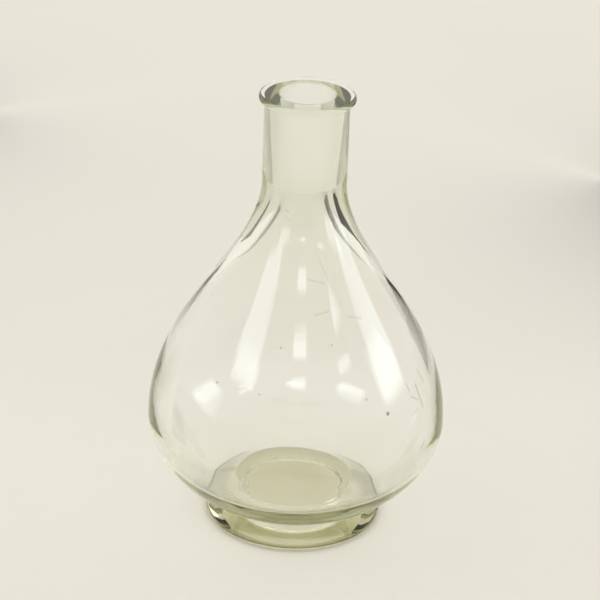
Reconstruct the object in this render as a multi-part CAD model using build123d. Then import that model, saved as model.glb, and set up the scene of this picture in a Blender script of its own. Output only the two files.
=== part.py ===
from build123d import *
import math
import os

# Footed pear-shaped laboratory flask, about one litre, with a ground 24/40 socket in its neck.
# Every piece is a body of revolution about Z, and the four pieces are sealed face to face:
#   bulb           blown pear-shaped vessel, its wall thick at the heel and the shoulder
#   ground_socket  neck tube whose inside is ground to a 1:10 taper for a stopper
#   lip_ring       bead wound round the mouth
#   foot           flared pad under the bulb, with a shallow recess turned into its underside
# All sizes are in millimetres. Z = 0 is the surface that the foot stands on.

# Driving dimensions
TOTAL_HEIGHT = 202.0

# Ground socket: 24 mm across the mouth, 40 mm long, tapering 1 mm in 10
MOUTH_RADIUS = 12.0
SOCKET_LENGTH = 40.0
SOCKET_TAPER = 1 / 10
MOUTH_EDGE = 0.5
NECK_RADIUS = 18.2

# Bead round the mouth
LIP_RADIUS = 20.6
LIP_HEIGHT = 3.2
LIP_EDGE = 1.5

# Bulb, outside
BELLY_RADIUS = 66.1
BELLY_HEIGHT = 49.0
BELLY_UPPER_HANDLE = 47.0
SHOULDER_HANDLE = 32.0
BELLY_LOWER_HANDLE = 13.0
HEEL_HANDLE = 24.5
HEEL_ANGLE = 11.0

# Bulb, inside
BELLY_WALL = 2.8
INNER_BELLY_HEIGHT = 52.0
INNER_UPPER_HANDLE = 50.0
INNER_SHOULDER_HANDLE = 36.0
INNER_LOWER_HANDLE = 35.0
INNER_FLOOR_HEIGHT = 12.5
INNER_FLOOR_HANDLE = 16.0

# Foot
FOOT_HEIGHT = 10.0
FOOT_TOP_RADIUS = 27.5
FOOT_RADIUS = 39.4
FOOT_RIM_HEIGHT = 2.7
FOOT_LOWER_EDGE = 2.2
FOOT_UPPER_EDGE = 0.8
RECESS_RADIUS = 24.5
RECESS_DEPTH = 2.2
RECESS_EDGE = 1.0

# Derived places
SOCKET_BOTTOM = TOTAL_HEIGHT - SOCKET_LENGTH
SOCKET_END_RADIUS = MOUTH_RADIUS - SOCKET_LENGTH * SOCKET_TAPER / 2
LIP_BOTTOM = TOTAL_HEIGHT - LIP_HEIGHT
INNER_BELLY_RADIUS = BELLY_RADIUS - BELLY_WALL


def spin(face):
    """Turn a flat face of (radius, height) points into a full body of revolution."""
    return revolve(Plane.XZ * face, axis=Axis.Z)


def round_corner(face, corner, radius):
    """Round the corner of a flat face that lies at the given (radius, height)."""
    nearest = face.vertices().sort_by_distance(Vector(*corner))[0]
    return fillet(nearest, radius)


def bulb():
    """Pear-shaped vessel: its wall grows from the belly up to the neck and down to the heel."""
    heel = math.radians(HEEL_ANGLE)
    heel_control = (
        FOOT_TOP_RADIUS + HEEL_HANDLE * math.cos(heel),
        FOOT_HEIGHT + HEEL_HANDLE * math.sin(heel),
    )
    outside_low = Bezier(
        (FOOT_TOP_RADIUS, FOOT_HEIGHT),
        heel_control,
        (BELLY_RADIUS, BELLY_HEIGHT - BELLY_LOWER_HANDLE),
        (BELLY_RADIUS, BELLY_HEIGHT),
    )
    outside_high = Bezier(
        (BELLY_RADIUS, BELLY_HEIGHT),
        (BELLY_RADIUS, BELLY_HEIGHT + BELLY_UPPER_HANDLE),
        (NECK_RADIUS, SOCKET_BOTTOM - SHOULDER_HANDLE),
        (NECK_RADIUS, SOCKET_BOTTOM),
    )
    neck_seal = Line((NECK_RADIUS, SOCKET_BOTTOM), (SOCKET_END_RADIUS, SOCKET_BOTTOM))
    inside_high = Bezier(
        (SOCKET_END_RADIUS, SOCKET_BOTTOM),
        (SOCKET_END_RADIUS, SOCKET_BOTTOM - INNER_SHOULDER_HANDLE),
        (INNER_BELLY_RADIUS, INNER_BELLY_HEIGHT + INNER_UPPER_HANDLE),
        (INNER_BELLY_RADIUS, INNER_BELLY_HEIGHT),
    )
    inside_low = Bezier(
        (INNER_BELLY_RADIUS, INNER_BELLY_HEIGHT),
        (INNER_BELLY_RADIUS, INNER_BELLY_HEIGHT - INNER_LOWER_HANDLE),
        (INNER_FLOOR_HANDLE, INNER_FLOOR_HEIGHT),
        (0, INNER_FLOOR_HEIGHT),
    )
    foot_seal = Polyline(
        (0, INNER_FLOOR_HEIGHT), (0, FOOT_HEIGHT), (FOOT_TOP_RADIUS, FOOT_HEIGHT)
    )
    outline = [outside_low, outside_high, neck_seal, inside_high, inside_low, foot_seal]
    return spin(make_face(Curve() + outline))


def ground_socket():
    """Neck tube: a plain cylinder outside and the ground taper inside."""
    face = make_face(
        Polyline(
            (SOCKET_END_RADIUS, SOCKET_BOTTOM),
            (NECK_RADIUS, SOCKET_BOTTOM),
            (NECK_RADIUS, TOTAL_HEIGHT),
            (MOUTH_RADIUS, TOTAL_HEIGHT),
            close=True,
        )
    )
    return spin(round_corner(face, (MOUTH_RADIUS, TOTAL_HEIGHT), MOUTH_EDGE))


def lip_ring():
    """Bead round the top of the neck, its outer edges rounded."""
    face = make_face(
        Polyline(
            (NECK_RADIUS, LIP_BOTTOM),
            (LIP_RADIUS, LIP_BOTTOM),
            (LIP_RADIUS, TOTAL_HEIGHT),
            (NECK_RADIUS, TOTAL_HEIGHT),
            close=True,
        )
    )
    for height in (LIP_BOTTOM, TOTAL_HEIGHT):
        face = round_corner(face, (LIP_RADIUS, height), LIP_EDGE)
    return spin(face)


def foot():
    """Solid pad, flared outside, with a shallow flat-topped recess in its underside."""
    face = make_face(
        Polyline(
            (0, RECESS_DEPTH),
            (RECESS_RADIUS, RECESS_DEPTH),
            (RECESS_RADIUS, 0),
            (FOOT_RADIUS, 0),
            (FOOT_RADIUS, FOOT_RIM_HEIGHT),
            (FOOT_TOP_RADIUS, FOOT_HEIGHT),
            (0, FOOT_HEIGHT),
            close=True,
        )
    )
    for height in (0, RECESS_DEPTH):
        face = round_corner(face, (RECESS_RADIUS, height), RECESS_EDGE)
    face = round_corner(face, (FOOT_RADIUS, 0), FOOT_LOWER_EDGE)
    return spin(round_corner(face, (FOOT_RADIUS, FOOT_RIM_HEIGHT), FOOT_UPPER_EDGE))


os.makedirs("parts", exist_ok=True)
for piece in (bulb, ground_socket, lip_ring, foot):
    export_step(piece(), f"parts/{piece.__name__}.step")
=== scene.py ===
import math

import bmesh
import bpy
import numpy as np
from mathutils import Matrix, Vector


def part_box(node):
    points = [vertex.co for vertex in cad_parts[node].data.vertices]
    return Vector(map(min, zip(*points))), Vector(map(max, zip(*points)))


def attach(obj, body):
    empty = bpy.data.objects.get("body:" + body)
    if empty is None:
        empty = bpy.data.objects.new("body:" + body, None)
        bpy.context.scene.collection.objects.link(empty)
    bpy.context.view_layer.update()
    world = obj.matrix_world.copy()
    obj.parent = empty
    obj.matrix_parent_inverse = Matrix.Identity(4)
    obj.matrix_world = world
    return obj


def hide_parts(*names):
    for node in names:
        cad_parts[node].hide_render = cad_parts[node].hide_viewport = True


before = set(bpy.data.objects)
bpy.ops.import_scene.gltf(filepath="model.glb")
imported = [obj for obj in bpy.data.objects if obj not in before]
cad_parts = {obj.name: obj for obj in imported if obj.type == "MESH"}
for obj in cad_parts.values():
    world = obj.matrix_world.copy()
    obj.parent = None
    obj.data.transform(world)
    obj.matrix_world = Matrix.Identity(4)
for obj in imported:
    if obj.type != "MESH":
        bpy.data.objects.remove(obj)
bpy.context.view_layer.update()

# The glass pieces are turned again here from the same outlines as the CAD part, with the slow waves of
# blown glass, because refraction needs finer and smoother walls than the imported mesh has.
# An outline is a list of (points, kind). Points are (radius, height) in millimetres. Kinds are the
# "outer" and "inner" walls, "ground" and "plain" glass, and a "seal" where two pieces are joined.
# Azimuths are in degrees round the flask: 0 faces the camera and 90 is to the camera's right.
MM = 0.001

# Read from the frame
NECK_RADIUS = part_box("ground_socket")[1].x / MM
SOCKET_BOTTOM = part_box("ground_socket")[0].z / MM
TOTAL_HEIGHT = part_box("ground_socket")[1].z / MM
LIP_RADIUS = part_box("lip_ring")[1].x / MM
LIP_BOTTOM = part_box("lip_ring")[0].z / MM
BELLY_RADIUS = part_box("bulb")[1].x / MM
FOOT_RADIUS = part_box("foot")[1].x / MM
FOOT_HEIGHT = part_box("foot")[1].z / MM

# Driving dimensions of the outlines, the same as the CAD part's but for the foot's rim. Its upper edge
# is sharp here, so it stands a little lower.
MOUTH_RADIUS = 12.0
SOCKET_END_RADIUS = 10.0
MOUTH_EDGE = 0.5
LIP_EDGE = 1.5
BELLY_WALL = 2.8
BELLY_HEIGHT = 49.0
BELLY_UPPER_HANDLE = 47.0
SHOULDER_HANDLE = 32.0
BELLY_LOWER_HANDLE = 13.0
HEEL_HANDLE = 24.5
HEEL_ANGLE = math.radians(11.0)
INNER_BELLY_RADIUS = BELLY_RADIUS - BELLY_WALL
INNER_BELLY_HEIGHT = 52.0
INNER_UPPER_HANDLE = 50.0
INNER_SHOULDER_HANDLE = 36.0
INNER_LOWER_HANDLE = 35.0
INNER_FLOOR_HEIGHT = 12.5
INNER_FLOOR_HANDLE = 16.0
FOOT_TOP_RADIUS = 27.5
FOOT_RIM_HEIGHT = 2.5
FOOT_LOWER_EDGE = 2.2
RECESS_RADIUS = 24.5
RECESS_DEPTH = 2.2
RECESS_EDGE = 1.0

# Neighbouring pieces stand this far apart, so that a ray leaves one before it enters the next
SEAL_GAP = 0.02
FLOOR_GAP = 0.1

# Fineness of the turned pieces. A point this close to the axis is on it.
TURNS = 192
ON_AXIS = 1e-6
SHARP_ANGLE = math.radians(28.0)

# Waves of the blown walls: (lobes round the axis, radians of height per mm, phase, share)
WAVES = [
    (0, 0.17, 0.4, 0.6),
    (1, 0.23, 2.1, 1.0),
    (2, 0.13, 4.4, 0.9),
    (3, 0.29, 1.3, 0.7),
    (4, 0.19, 5.2, 0.5),
    (5, 0.36, 3.0, 0.4),
]
OUTER_WAVE = 0.030
INNER_WAVE = 0.055

# Heights over which the waves grow to full size, up from the heel and down from the neck
OUTER_HEEL_FADE = (16, 30)
OUTER_NECK_FADE = (210, 150)
INNER_HEEL_FADE = (24, 45)
INNER_NECK_FADE = (162, 140)

# The inner wall's waves are turned and raised, so that they don't follow the outer wall's
INNER_WAVE_TURN = 1.3
INNER_WAVE_RISE = 9

# Small flaws of the front wall: (azimuth, height) of both ends in degrees and mm, half width in mm, depth.
# Stones first, then faint scratches, then the tool strokes at the right of the belly.
FLAWS = [
    ((40, 76), (40, 76), 1.1, 1.0),
    ((-9, 105), (-9, 105), 0.55, 0.8),
    ((18, 106), (18, 106), 0.50, 0.7),
    ((31, 84), (31, 84), 0.55, 0.7),
    ((-37, 87), (-37, 87), 0.60, 0.8),
    ((-16, 87), (-16, 87), 0.50, 0.6),
    ((16, 137), (22, 130), 0.45, 0.22),
    ((5, 130), (19, 128), 0.40, 0.22),
    ((10, 117), (19, 118), 0.45, 0.22),
    ((32, 115), (40, 113), 0.45, 0.22),
    ((-24, 156), (-18, 155), 0.45, 0.22),
    ((-23, 153), (-17, 152), 0.45, 0.22),
    ((74, 93), (76, 79), 0.45, 0.4),
    ((65, 86), (67, 79), 0.50, 0.4),
    ((60, 81), (61, 71), 0.60, 0.5),
    ((54, 84), (55, 80), 0.45, 0.4),
    ((55, 78), (59, 75), 0.45, 0.4),
    ((53, 71), (58, 72), 0.40, 0.3),
    ((59, 56), (56, 53), 0.50, 0.4),
]
# Radius at which the wall is unrolled to measure a flaw, and the shortest run of one
FLAW_RADIUS = 60.0
FLAW_SHORTEST = 1.0
FLAW_COLOUR = (0.16, 0.15, 0.11)

# Refractive indices: light passes straight through a seal, and bends little at a ground face
GLASS_IOR = 1.52
FACE_IOR = {"seal": 1.0, "ground": 1.15}

# The thin bulb is nearly clear. The foot's deeper olive and its seal tint are partly glass colour, partly
# painted shade.
WHITE = (1, 1, 1)
CLEAR_TINT = (0.85, 0.86, 0.74)
CLEAR_DENSITY = 52.0
FOOT_TINT_AND_SHADE = (0.85, 0.84, 0.73)
FOOT_DENSITY_AND_SHADE = 62.0
SEAL_TINT_AND_SHADE = (0.87, 0.86, 0.74)

# Surface of the glass: rare smudges, and fine ripples drawn out round the axis
SMUDGE_SCALE = 38
SMUDGE_DETAIL = 4
SMUDGE_RANGE = (0.60, 0.74)
SMUDGE_ROUGHNESS = 0.05
RIPPLE_SCALE = 60
RIPPLE_DETAIL = 1
RIPPLE_SQUEEZE = (1, 1, 5)
RIPPLE_HEIGHT = 0.015

# Ground zone of the neck
GRAIN_SCALE = 2600
GRAIN_DETAIL = 2
GRAIN_SQUEEZE = (1, 1, 0.5)
GRAIN_RANGE = (0.3, 0.7)
GRAIN_ROUGHNESS = (0.80, 1.0)
GROUND_TRANSMISSION = 0.60

# Stage, in metres
FLOOR_HALF_SIZE = 3.0
FLOOR_COLOURS = ((0.80, 0.78, 0.73), (0.83, 0.81, 0.76))
FLOOR_ROUGHNESS = 0.8
FLOOR_SPECULAR = 0.2
MOTTLE_SCALE = 6
MOTTLE_DETAIL = 3
FLAG_ROUGHNESS = 0.9
SKY_COLOUR = (1, 0.985, 0.93)
LIGHT_COLOUR = (0.86, 0.93, 1)
LIGHT_TARGET = Vector((0, 0, 0.1))

# Share of a softbox over which it fades out, at its sides and at its ends
SOFT_SIDE = 0.10
SOFT_END = 0.30

# Camera, with its roll in radians, its lens in millimetres and the rest in metres
CAMERA_PLACE = (0, -0.900, 0.556)
CAMERA_PITCH = math.radians(26.614)
CAMERA_ROLL = 0.0383
LENS = 137.9
SENSOR_WIDTH = 36
NEAREST = 0.01

# Light trapped in the thick base needs many bounces before it comes out olive and not black
GLASS_BOUNCES = 200
DIFFUSE_BOUNCES = 16


def bezier(start, start_pull, end_pull, end, steps):
    """Points of a cubic curve, both ends included."""
    t = np.linspace(0, 1, steps)[:, None]
    a, b, c, d = (np.array(p, float) for p in (start, start_pull, end_pull, end))
    return (1 - t) ** 3 * a + 3 * (1 - t) ** 2 * t * b + 3 * (1 - t) * t**2 * c + t**3 * d


def straight(start, end, steps):
    """Points of a straight line, both ends included."""
    t = np.linspace(0, 1, steps)[:, None]
    return np.array(start, float) * (1 - t) + np.array(end, float) * t


def arc(centre, radius, start_degrees, end_degrees, steps=8):
    """Points of a circular arc, both ends included."""
    angle = np.radians(np.linspace(start_degrees, end_degrees, steps))
    return np.c_[centre[0] + radius * np.cos(angle), centre[1] + radius * np.sin(angle)]


def wave(angle, height):
    """Slow waves of a blown wall, between about -1 and 1."""
    return sum(share * np.cos(lobes * angle + rate * height + phase)
               for lobes, rate, phase, share in WAVES) / 2


def fade(value, low, high):
    """0 at low and beyond, 1 at high and beyond."""
    return min(1.0, max(0.0, (value - low) / (high - low)))


def offset(kind, angle, height):
    """How far a wall of this kind stands out from its outline, in millimetres."""
    if kind == "outer":
        size = OUTER_WAVE * fade(height, *OUTER_HEEL_FADE) * fade(height, *OUTER_NECK_FADE)
        return size * wave(angle, height)
    if kind == "inner":
        size = INNER_WAVE * fade(height, *INNER_HEEL_FADE) * fade(height, *INNER_NECK_FADE)
        return size * wave(angle + INNER_WAVE_TURN, height + INNER_WAVE_RISE)
    return np.zeros_like(angle)


def join_outline(outline):
    """Points of a whole outline, the kind at each, and whether the outline closes on itself."""
    points = [point for run, _ in outline for point in run[:-1]]
    kinds = [kind for run, kind in outline for _ in run[:-1]]
    last_run, last_kind = outline[-1]
    closed = np.allclose(last_run[-1], points[0])
    if not closed:
        points.append(last_run[-1])
        kinds.append(last_kind)
    return np.array(points), kinds, closed


def turn(points, kinds):
    """Vertices of a turned body, and for each outline point the ring of its vertex numbers."""
    radii, heights = points.T
    normals = np.c_[np.gradient(heights), -np.gradient(radii)]
    normals /= np.linalg.norm(normals, axis=1)[:, None]
    angle = np.arange(TURNS) * 2 * math.pi / TURNS
    vertices, rings = [], []
    for radius, height, kind, normal in zip(radii, heights, kinds, normals):
        first = len(vertices)
        if radius < ON_AXIS:
            vertices.append((0, 0, height * MM))
            rings.append([first] * TURNS)
            continue
        out = offset(kind, angle, height)
        r = (radius + out * normal[0]) * MM
        z = (height + out * normal[1]) * MM
        vertices.extend(zip(r * np.cos(angle), r * np.sin(angle), z))
        rings.append(list(range(first, first + TURNS)))
    return vertices, rings


def skin(rings, kinds, closed):
    """Faces between neighbouring rings, and the kind of each face."""
    following = rings[1:] + rings[:1] if closed else rings[1:]
    faces, face_kinds = [], []
    for here, there, kind in zip(rings, following, kinds):
        for j in range(TURNS):
            k = (j + 1) % TURNS
            corners = dict.fromkeys((here[j], here[k], there[k], there[j]))
            faces.append(tuple(corners))
            face_kinds.append(kind)
    return faces, face_kinds


def tag_faces(mesh, face_kinds):
    """Give each face its refractive index and, as 1 or 0, the kinds that a material asks for."""
    index = mesh.attributes.new("index", "FLOAT", "FACE")
    index.data.foreach_set("value", [FACE_IOR.get(kind, GLASS_IOR) for kind in face_kinds])
    for special in ("seal", "ground", "outer"):
        attribute = mesh.attributes.new(special, "FLOAT", "FACE")
        attribute.data.foreach_set("value", [float(kind == special) for kind in face_kinds])


def point_outwards(mesh):
    """Turn every face of a closed mesh so that its normal points out of the body."""
    bm = bmesh.new()
    bm.from_mesh(mesh)
    bmesh.ops.recalc_face_normals(bm, faces=bm.faces)
    if bm.calc_volume(signed=True) < 0:
        bmesh.ops.reverse_faces(bm, faces=bm.faces)
    bm.to_mesh(mesh)
    bm.free()


def add_object(name, data):
    """New object that is linked to the scene."""
    added = bpy.data.objects.new(name, data)
    bpy.context.scene.collection.objects.link(added)
    return added


def lathe(name, outline, material):
    """Closed body of revolution, its faces tagged with their kinds."""
    points, kinds, closed = join_outline(outline)
    vertices, rings = turn(points, kinds)
    faces, face_kinds = skin(rings, kinds, closed)
    mesh = bpy.data.meshes.new(name)
    mesh.from_pydata(vertices, [], faces)
    tag_faces(mesh, face_kinds)
    point_outwards(mesh)
    mesh.polygons.foreach_set("use_smooth", [True] * len(faces))
    mesh.set_sharp_from_angle(angle=SHARP_ANGLE)
    mesh.materials.append(material)
    return add_object(name, mesh)


def bulb_outline():
    """Pear-shaped vessel, from the middle of its seal up the outside and down the inside."""
    heel = (
        FOOT_TOP_RADIUS + HEEL_HANDLE * math.cos(HEEL_ANGLE),
        FOOT_HEIGHT + HEEL_HANDLE * math.sin(HEEL_ANGLE),
    )
    crease = (FOOT_TOP_RADIUS, FOOT_HEIGHT)
    belly = (BELLY_RADIUS, BELLY_HEIGHT)
    neck = (NECK_RADIUS, SOCKET_BOTTOM)
    throat = (SOCKET_END_RADIUS, SOCKET_BOTTOM)
    inner_belly = (INNER_BELLY_RADIUS, INNER_BELLY_HEIGHT)
    low = bezier(crease, heel, (BELLY_RADIUS, BELLY_HEIGHT - BELLY_LOWER_HANDLE), belly, steps=60)
    high = bezier(
        belly,
        (BELLY_RADIUS, BELLY_HEIGHT + BELLY_UPPER_HANDLE),
        (NECK_RADIUS, SOCKET_BOTTOM - SHOULDER_HANDLE),
        neck,
        steps=120,
    )
    inner_high = bezier(
        throat,
        (SOCKET_END_RADIUS, SOCKET_BOTTOM - INNER_SHOULDER_HANDLE),
        (INNER_BELLY_RADIUS, INNER_BELLY_HEIGHT + INNER_UPPER_HANDLE),
        inner_belly,
        steps=120,
    )
    inner_low = bezier(
        inner_belly,
        (INNER_BELLY_RADIUS, INNER_BELLY_HEIGHT - INNER_LOWER_HANDLE),
        (INNER_FLOOR_HANDLE, INNER_FLOOR_HEIGHT),
        (0, INNER_FLOOR_HEIGHT),
        steps=90,
    )
    return [
        (straight((0, FOOT_HEIGHT), crease, steps=14), "seal"),
        (low, "outer"),
        (high, "outer"),
        (straight(neck, throat, steps=6), "seal"),
        (inner_high, "inner"),
        (inner_low, "inner"),
    ]


def socket_outline():
    """Neck tube: plain outside, sealed to the lip near its top, and ground inside."""
    low = SOCKET_BOTTOM + SEAL_GAP
    edge = MOUTH_RADIUS + MOUTH_EDGE
    shoulder = TOTAL_HEIGHT - MOUTH_EDGE
    return [
        (straight((SOCKET_END_RADIUS, low), (NECK_RADIUS, low), steps=6), "seal"),
        (straight((NECK_RADIUS, low), (NECK_RADIUS, LIP_BOTTOM), steps=30), "outer"),
        (straight((NECK_RADIUS, LIP_BOTTOM), (NECK_RADIUS, TOTAL_HEIGHT), steps=4), "seal"),
        (straight((NECK_RADIUS, TOTAL_HEIGHT), (edge, TOTAL_HEIGHT), steps=6), "plain"),
        (arc((edge, shoulder), MOUTH_EDGE, 90, 180, steps=5), "plain"),
        (straight((MOUTH_RADIUS, shoulder), (SOCKET_END_RADIUS, low), steps=40), "ground"),
    ]


def lip_outline():
    """Bead round the mouth, its two outer edges rounded."""
    inner = NECK_RADIUS + SEAL_GAP
    edge = LIP_RADIUS - LIP_EDGE
    low = LIP_BOTTOM + LIP_EDGE
    high = TOTAL_HEIGHT - LIP_EDGE
    return [
        (straight((inner, LIP_BOTTOM), (edge, LIP_BOTTOM), steps=4), "plain"),
        (arc((edge, low), LIP_EDGE, -90, 0), "plain"),
        (straight((LIP_RADIUS, low), (LIP_RADIUS, high), steps=3), "plain"),
        (arc((edge, high), LIP_EDGE, 0, 90), "plain"),
        (straight((edge, TOTAL_HEIGHT), (inner, TOTAL_HEIGHT), steps=4), "plain"),
        (straight((inner, TOTAL_HEIGHT), (inner, LIP_BOTTOM), steps=4), "seal"),
    ]


def foot_outline():
    """Flared pad, from the middle of its recess out under the land and up the flare to its seal."""
    top = FOOT_HEIGHT - SEAL_GAP
    recess_top = RECESS_DEPTH - RECESS_EDGE
    recess_flat = RECESS_RADIUS - RECESS_EDGE
    land = RECESS_RADIUS + RECESS_EDGE
    rim = FOOT_RADIUS - FOOT_LOWER_EDGE
    return [
        (straight((0, RECESS_DEPTH), (recess_flat, RECESS_DEPTH), steps=10), "plain"),
        (arc((recess_flat, recess_top), RECESS_EDGE, 90, 0), "plain"),
        (straight((RECESS_RADIUS, recess_top), (RECESS_RADIUS, RECESS_EDGE), steps=3), "plain"),
        (arc((land, RECESS_EDGE), RECESS_EDGE, 180, 270), "plain"),
        (straight((land, 0), (rim, 0), steps=6), "plain"),
        (arc((rim, FOOT_LOWER_EDGE), FOOT_LOWER_EDGE, -90, 0), "plain"),
        (straight((FOOT_RADIUS, FOOT_LOWER_EDGE), (FOOT_RADIUS, FOOT_RIM_HEIGHT), steps=2), "plain"),
        (straight((FOOT_RADIUS, FOOT_RIM_HEIGHT), (FOOT_TOP_RADIUS, top), steps=10), "plain"),
        (straight((FOOT_TOP_RADIUS, top), (0, top), steps=14), "seal"),
    ]


def new_material(name):
    """Material, its node tree and its Principled shader."""
    material = bpy.data.materials.new(name)
    material.use_nodes = True
    tree = material.node_tree
    return material, tree, tree.nodes["Principled BSDF"]


def fill(tree, node, inputs):
    """Give a node its first inputs, each either a socket to link or a plain value."""
    for slot, value in zip(node.inputs, inputs):
        if isinstance(value, bpy.types.NodeSocket):
            tree.links.new(value, slot)
        else:
            slot.default_value = value


def maths(tree, operation, *inputs):
    """Socket of a sum on numbers."""
    node = tree.nodes.new("ShaderNodeMath")
    node.operation = operation
    fill(tree, node, inputs)
    return node.outputs["Value"]


def vector_maths(tree, operation, *inputs):
    """Node of a sum on vectors."""
    node = tree.nodes.new("ShaderNodeVectorMath")
    node.operation = operation
    fill(tree, node, inputs)
    return node


def mix_colours(tree, factor, low, high):
    """Socket of a colour blended by factor; low and high are sockets or colours."""
    node = tree.nodes.new("ShaderNodeMix")
    node.data_type = "RGBA"
    for slot, value in (("A", low), ("B", high)):
        if isinstance(value, bpy.types.NodeSocket):
            tree.links.new(value, node.inputs[slot])
        else:
            node.inputs[slot].default_value = (*value, 1)
    tree.links.new(factor, node.inputs["Factor"])
    return node.outputs["Result"]


def remap(tree, value, from_low, from_high, to_low, to_high):
    """Socket of value, taken from one range to another and clamped."""
    node = tree.nodes.new("ShaderNodeMapRange")
    limits = {"From Min": from_low, "From Max": from_high, "To Min": to_low, "To Max": to_high}
    for name, limit in limits.items():
        node.inputs[name].default_value = limit
    tree.links.new(value, node.inputs["Value"])
    return node.outputs["Result"]


def face_value(tree, name):
    """Socket of a face attribute."""
    attribute = tree.nodes.new("ShaderNodeAttribute")
    attribute.attribute_name = name
    return attribute.outputs["Fac"]


def noise(tree, scale, detail, squeeze=(1, 1, 1)):
    """Socket of a noise pattern fixed to the object, squeezed by a factor along each axis."""
    place = tree.nodes.new("ShaderNodeTexCoord")
    mapping = tree.nodes.new("ShaderNodeMapping")
    mapping.inputs["Scale"].default_value = squeeze
    pattern = tree.nodes.new("ShaderNodeTexNoise")
    pattern.inputs["Scale"].default_value = scale
    pattern.inputs["Detail"].default_value = detail
    tree.links.new(place.outputs["Object"], mapping.inputs["Vector"])
    tree.links.new(mapping.outputs["Vector"], pattern.inputs["Vector"])
    return pattern.outputs["Fac"]


def bump(tree, height, distance):
    """Socket of a normal bent by a height pattern; distance is in metres."""
    node = tree.nodes.new("ShaderNodeBump")
    node.inputs["Distance"].default_value = distance
    node.inputs["Strength"].default_value = 1.0
    tree.links.new(height, node.inputs["Height"])
    return node.outputs["Normal"]


def unrolled(tree):
    """Socket of the place on the wall, unrolled flat: (arc length, height, 0) in metres."""
    place = tree.nodes.new("ShaderNodeTexCoord")
    split = tree.nodes.new("ShaderNodeSeparateXYZ")
    flat = tree.nodes.new("ShaderNodeCombineXYZ")
    tree.links.new(place.outputs["Object"], split.inputs["Vector"])
    towards_camera = maths(tree, "MULTIPLY", split.outputs["Y"], -1.0)
    azimuth = maths(tree, "ARCTAN2", split.outputs["X"], towards_camera)
    fill(tree, flat, (maths(tree, "MULTIPLY", azimuth, FLAW_RADIUS * MM), split.outputs["Z"]))
    return flat.outputs["Vector"]


def flaw(tree, flat, start, end, half_width, depth):
    """Socket that rises to depth on the line between two (azimuth, height) places."""
    first, last = (Vector((math.radians(azimuth) * FLAW_RADIUS, height, 0)) * MM
                   for azimuth, height in (start, end))
    run = last - first
    length_squared = max(run.length_squared, (FLAW_SHORTEST * MM) ** 2)
    from_start = vector_maths(tree, "SUBTRACT", flat, first).outputs["Vector"]
    along = vector_maths(tree, "DOT_PRODUCT", from_start, run / length_squared)
    share = remap(tree, along.outputs["Value"], 0, 1, 0, 1)
    nearest = vector_maths(tree, "MULTIPLY", share, run).outputs["Vector"]
    distance = vector_maths(tree, "DISTANCE", from_start, nearest).outputs["Value"]
    return remap(tree, distance, half_width * MM, half_width * MM / 2, 0, depth)


def flaws(tree):
    """Socket of how deep the stones, scratches and strokes of the outer wall are, up to 1."""
    flat = unrolled(tree)
    mask = 0.0
    for start, end, half_width, depth in FLAWS:
        mask = maths(tree, "MAXIMUM", flaw(tree, flat, start, end, half_width, depth), mask)
    return maths(tree, "MULTIPLY", mask, face_value(tree, "outer"))


def glass_material(name, tint, density, seal_tint=WHITE):
    """Blown glass: a faint olive tint with depth, fine drawn ripples, a few smudges and small flaws."""
    material, tree, shader = new_material(name)
    # On the foot's seal faces this tint is partly the glass's olive and partly painted shade under the
    # base
    colour = mix_colours(tree, face_value(tree, "seal"), WHITE, seal_tint)
    tree.links.new(mix_colours(tree, flaws(tree), colour, FLAW_COLOUR), shader.inputs["Base Color"])
    shader.inputs["Transmission Weight"].default_value = 1
    shader.inputs["IOR"].default_value = GLASS_IOR
    tree.links.new(face_value(tree, "index"), shader.inputs["IOR"])
    smudge = remap(tree, noise(tree, SMUDGE_SCALE, SMUDGE_DETAIL), *SMUDGE_RANGE, 0, SMUDGE_ROUGHNESS)
    tree.links.new(smudge, shader.inputs["Roughness"])
    ripple = bump(tree, noise(tree, RIPPLE_SCALE, RIPPLE_DETAIL, RIPPLE_SQUEEZE), RIPPLE_HEIGHT * MM)
    tree.links.new(ripple, shader.inputs["Normal"])
    volume = tree.nodes.new("ShaderNodeVolumeAbsorption")
    volume.inputs["Color"].default_value = (*tint, 1)
    volume.inputs["Density"].default_value = density
    tree.links.new(volume.outputs["Volume"], tree.nodes["Material Output"].inputs["Volume"])
    return material


def ground_glass_material(name):
    """The neck's glass: clear outside, matt and finely grained where its inside is ground."""
    material = glass_material(name, CLEAR_TINT, CLEAR_DENSITY)
    tree = material.node_tree
    shader = tree.nodes["Principled BSDF"]
    is_ground = face_value(tree, "ground")
    grain = noise(tree, GRAIN_SCALE, GRAIN_DETAIL, GRAIN_SQUEEZE)
    matt = maths(tree, "MULTIPLY", is_ground, remap(tree, grain, *GRAIN_RANGE, *GRAIN_ROUGHNESS))
    tree.links.new(matt, shader.inputs["Roughness"])
    clear = remap(tree, is_ground, 0, 1, 1, GROUND_TRANSMISSION)
    tree.links.new(clear, shader.inputs["Transmission Weight"])
    return material


def floor_material():
    """Pale warm paper with a very faint mottle."""
    material, tree, shader = new_material("pale_floor")
    shader.inputs["Roughness"].default_value = FLOOR_ROUGHNESS
    shader.inputs["Specular IOR Level"].default_value = FLOOR_SPECULAR
    mottle = mix_colours(tree, noise(tree, MOTTLE_SCALE, MOTTLE_DETAIL), *FLOOR_COLOURS)
    tree.links.new(mottle, shader.inputs["Base Color"])
    return material


def flag_material(name, shade):
    """Matt grey card."""
    material, _, shader = new_material(name)
    shader.inputs["Base Color"].default_value = (shade, shade, shade, 1)
    shader.inputs["Roughness"].default_value = FLAG_ROUGHNESS
    return material


def add_card(name, corners, material):
    """Flat card that belongs to the stage."""
    mesh = bpy.data.meshes.new(name)
    mesh.from_pydata(corners, [], [(0, 1, 2, 3)])
    mesh.materials.append(material)
    card = add_object(name, mesh)
    return card


def add_floor():
    """Large pale floor just under the flask."""
    half = FLOOR_HALF_SIZE
    corners = [(-half, -half, 0), (half, -half, 0), (half, half, 0), (-half, half, 0)]
    floor = add_card("floor", corners, floor_material())
    floor.location.z = -FLOOR_GAP * MM


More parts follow.
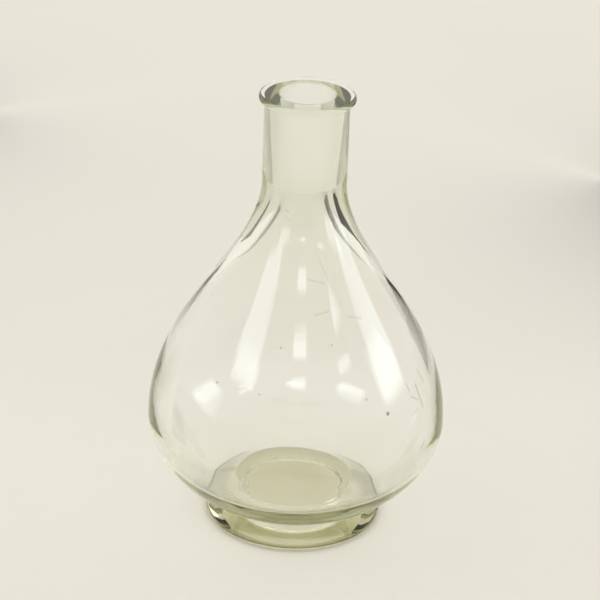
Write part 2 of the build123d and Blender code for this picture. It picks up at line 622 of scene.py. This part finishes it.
def add_flag(name, azimuth, distance, width, height, shade):
    """Upright dark card outside the picture. The thick shoulder picks it up as a dark line."""
    side = math.radians(azimuth)
    centre = distance * Vector((math.sin(side), -math.cos(side), 0))
    half = width / 2 * Vector((math.cos(side), math.sin(side), 0))
    top = Vector((0, 0, height))
    corners = [centre - half, centre + half, centre + half + top, centre - half + top]
    add_card(name, corners, flag_material(name, shade))


def add_camera():
    """A long lens about a metre away, looking down on the flask and held slightly askew."""
    data = bpy.data.cameras.new("camera")
    data.lens = LENS
    data.sensor_width = SENSOR_WIDTH
    data.clip_start = NEAREST
    camera = add_object("camera", data)
    bpy.context.scene.camera = camera
    look_down = Matrix.Rotation(math.pi / 2 - CAMERA_PITCH, 4, "X")
    askew = Matrix.Rotation(CAMERA_ROLL, 4, "Z")
    camera.matrix_world = Matrix.Translation(CAMERA_PLACE) @ look_down @ askew


def soften_edges(data):
    """Let a rectangular light fade out towards its four edges, as a diffuser does."""
    data.use_nodes = True
    tree = data.node_tree
    geometry = tree.nodes.new("ShaderNodeNewGeometry")
    sides = tree.nodes.new("ShaderNodeSeparateXYZ")
    tree.links.new(geometry.outputs["Parametric"], sides.inputs["Vector"])
    fades = []
    for side, edge in (("X", SOFT_SIDE), ("Y", SOFT_END)):
        from_middle = maths(tree, "ABSOLUTE", maths(tree, "SUBTRACT", sides.outputs[side], 0.5))
        fades.append(remap(tree, from_middle, 0.5, 0.5 - edge, 0, 1))
    tree.links.new(maths(tree, "MULTIPLY", *fades), tree.nodes["Emission"].inputs["Strength"])


def add_softbox(name, azimuth, elevation, distance, width, height, radiance):
    """Rectangular soft light aimed at the flask."""
    data = bpy.data.lights.new(name, "AREA")
    data.shape = "RECTANGLE"
    data.size = width
    data.size_y = height
    data.energy = radiance * math.pi * width * height
    data.color = LIGHT_COLOUR
    soften_edges(data)
    light = add_object(name, data)
    light.visible_diffuse = False
    side, up = math.radians(azimuth), math.radians(elevation)
    away = Vector((math.sin(side) * math.cos(up), -math.cos(side) * math.cos(up), math.sin(up)))
    light.location = LIGHT_TARGET + distance * away
    light.rotation_euler = (-away).to_track_quat("-Z", "Y").to_euler()


def add_sky():
    """Even, slightly warm surroundings."""
    world = bpy.data.worlds.new("studio")
    bpy.context.scene.world = world
    world.use_nodes = True
    background = world.node_tree.nodes["Background"]
    background.inputs["Strength"].default_value = 1.0
    background.inputs["Color"].default_value = (*SKY_COLOUR, 1)


def set_light_paths():
    """Bounces for thick glass, sharp reflections throughout, and colours shown as they are."""
    scene = bpy.context.scene
    scene.cycles.max_bounces = GLASS_BOUNCES
    scene.cycles.glossy_bounces = GLASS_BOUNCES
    scene.cycles.transmission_bounces = GLASS_BOUNCES
    scene.cycles.diffuse_bounces = DIFFUSE_BOUNCES
    scene.cycles.blur_glossy = 0
    scene.view_settings.view_transform = "Standard"
    scene.view_settings.look = "None"


def add_glass():
    """The four glass pieces, each standing for its CAD node."""
    clear = glass_material("blown_glass", CLEAR_TINT, CLEAR_DENSITY)
    # The foot's deeper olive and seal tint: partly glass colour, partly painted shade under the base
    olive = glass_material("olive_glass_and_painted_shade", FOOT_TINT_AND_SHADE, FOOT_DENSITY_AND_SHADE, SEAL_TINT_AND_SHADE)
    ground = ground_glass_material("neck_glass")
    rows = [
        ("bulb", bulb_outline(), clear, "clear_glass"),
        ("ground_socket", socket_outline(), ground, "ground_glass"),
        ("lip_ring", lip_outline(), clear, "clear_glass"),
        ("foot", foot_outline(), olive, "clear_glass"),
    ]
    for node, outline, material, slot in rows:
        piece = lathe(f"{node}_glass", outline, material)
        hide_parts(node)
        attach(piece, "root")


def add_lights():
    """Two softboxes for the long streaks, two small panes for the short marks, and two dark flags."""
    add_softbox(
        "left_softbox", azimuth=-52, elevation=31, distance=1.2, width=0.54, height=0.42, radiance=3.5
    )
    add_softbox(
        "right_softbox", azimuth=88, elevation=18, distance=1.2, width=0.60, height=0.68, radiance=3.2
    )
    for name, azimuth, radiance in (("front_pane", 2, 4.4), ("side_pane", 51, 3.8)):
        add_softbox(
            name, azimuth, elevation=36, distance=1.5, width=0.34, height=0.17, radiance=radiance
        )
    add_flag("right_flag", azimuth=142, distance=0.42, width=0.185, height=0.14, shade=0.01)
    add_flag("left_flag", azimuth=-151, distance=0.50, width=0.09, height=0.14, shade=0.25)


add_glass()
add_floor()
add_camera()
add_lights()
add_sky()
set_light_paths()
